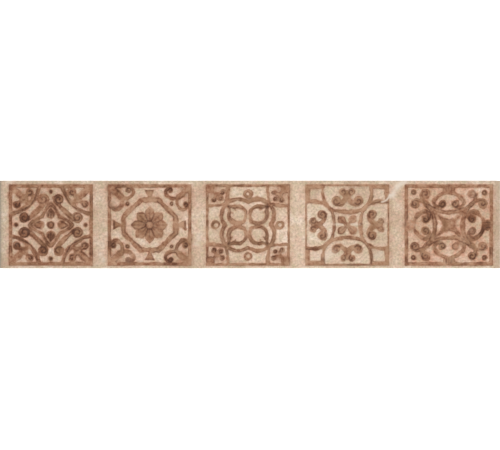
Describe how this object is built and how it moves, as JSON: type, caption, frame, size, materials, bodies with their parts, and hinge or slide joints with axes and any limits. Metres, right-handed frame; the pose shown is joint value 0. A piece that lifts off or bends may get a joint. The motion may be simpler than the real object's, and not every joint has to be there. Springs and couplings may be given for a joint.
{
  "type": "victorian border tile",
  "caption": "Long narrow fired border tile with framed square panels of sunk scroll, rosette and quatrefoil ornament in a row, to finish a tiled wall.",
  "frame": {"origin": "centre of the tile's back, the face it is bonded by, at the level it rests on", "axes": "+X along the tile's length, +Y across its width, +Z out of the decorated face"},
  "size_m": [0.4, 0.07, 0.009],
  "materials": {
    "tile_body": "satin"
  },
  "bodies": {
    "root": {"border_tile": "tile_body"}
  },
  "joints": []
}
